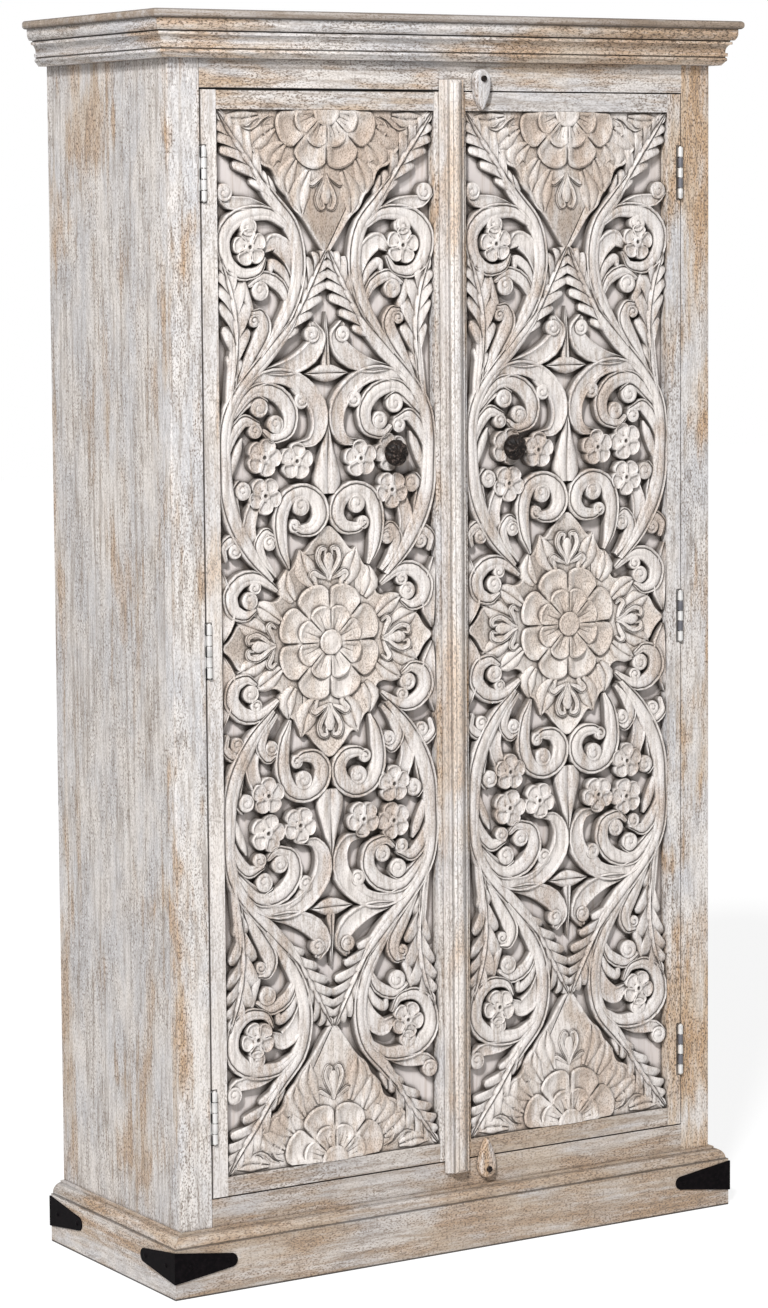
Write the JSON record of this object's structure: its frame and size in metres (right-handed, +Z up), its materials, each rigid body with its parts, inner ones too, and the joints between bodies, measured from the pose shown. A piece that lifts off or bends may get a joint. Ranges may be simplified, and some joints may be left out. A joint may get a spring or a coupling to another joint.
{
  "type": "cupboard",
  "caption": "Tall free-standing wooden cupboard with carved openwork double doors, moulded cornice and plinth, inner shelves, knobs and wooden turn buttons.",
  "frame": {"origin": "on the floor under the middle of the cupboard's box", "axes": "+X to the right as seen from the front, +Y towards the back, +Z up"},
  "size_m": [1, 0.4, 1.8],
  "materials": {
    "whitewashed_wood": "whitewashed, worn",
    "carved_wood": "whitewashed, rubbed back",
    "backing_wood": "matt whitewash",
    "inner_wood": "plain, waxed",
    "black_iron": "matt black",
    "hinge_steel": "polished",
    "screw_steel": "dull",
    "dark_knob": "dark, satin"
  },
  "bodies": {
    "case": {"top_slab": "whitewashed_wood", "cornice_front": "whitewashed_wood", "cornice_left": "whitewashed_wood", "cornice_right": "whitewashed_wood", "plinth_front": "whitewashed_wood", "plinth_left": "whitewashed_wood", "plinth_right": "whitewashed_wood", "plinth_back": "inner_wood", "bracket_front_left": "black_iron", "bracket_front_right": "black_iron", "bracket_back_left": "black_iron", "bracket_back_right": "black_iron", "face_left_stile": "whitewashed_wood", "face_right_stile": "whitewashed_wood", "face_top_rail": "whitewashed_wood", "face_bottom_rail": "whitewashed_wood", "side_panel_left": "whitewashed_wood", "side_panel_right": "whitewashed_wood", "back_panel": "inner_wood", "ceiling_board": "inner_wood", "floor_board": "inner_wood", "shelf_1": "inner_wood", "shelf_2": "inner_wood", "shelf_3": "inner_wood", "shelf_battens_left": "inner_wood", "shelf_battens_right": "inner_wood", "hinge_case_leaves_left": "hinge_steel", "hinge_case_leaves_right": "hinge_steel", "hinge_pins_left": "hinge_steel", "hinge_pins_right": "hinge_steel", "top_button_screw": "screw_steel", "bottom_button_screw": "screw_steel"},
    "left_door": {"left_door_hinge_stile": "whitewashed_wood", "left_door_meeting_stile": "whitewashed_wood", "left_door_top_rail": "whitewashed_wood", "left_door_bottom_rail": "whitewashed_wood", "left_door_backing_board": "backing_wood", "left_door_carved_panel": "carved_wood", "left_knob": "dark_knob", "left_knob_nut": "screw_steel", "hinge_door_leaves_left": "hinge_steel"},
    "right_door": {"right_door_hinge_stile": "whitewashed_wood", "right_door_meeting_stile": "whitewashed_wood", "right_door_top_rail": "whitewashed_wood", "right_door_bottom_rail": "whitewashed_wood", "right_door_backing_board": "backing_wood", "right_door_carved_panel": "carved_wood", "right_knob": "dark_knob", "right_knob_nut": "screw_steel", "hinge_door_leaves_right": "hinge_steel", "meeting_strip": "whitewashed_wood"},
    "top_turn_button": {"top_turn_button": "whitewashed_wood"},
    "bottom_turn_button": {"bottom_turn_button": "whitewashed_wood"}
  },
  "joints": [
    {"name": "left_door_hinge", "type": "hinge", "parent": "case", "child": "left_door", "pos_m": [-0.407, -0.165, 0.912], "axis": [0, 0, -1], "range_deg": [0, 175]},
    {"name": "right_door_hinge", "type": "hinge", "parent": "case", "child": "right_door", "pos_m": [0.407, -0.165, 0.912], "axis": [0, 0, 1], "range_deg": [0, 175]},
    {"name": "top_button_turn", "type": "hinge", "parent": "case", "child": "top_turn_button", "pos_m": [0.051, -0.168, 1.711], "axis": [0, -1, 0], "range_deg": [0, 90]},
    {"name": "bottom_button_turn", "type": "hinge", "parent": "case", "child": "bottom_turn_button", "pos_m": [0.051, -0.168, 0.113], "axis": [0, 1, 0], "range_deg": [0, 90]}
  ]
}
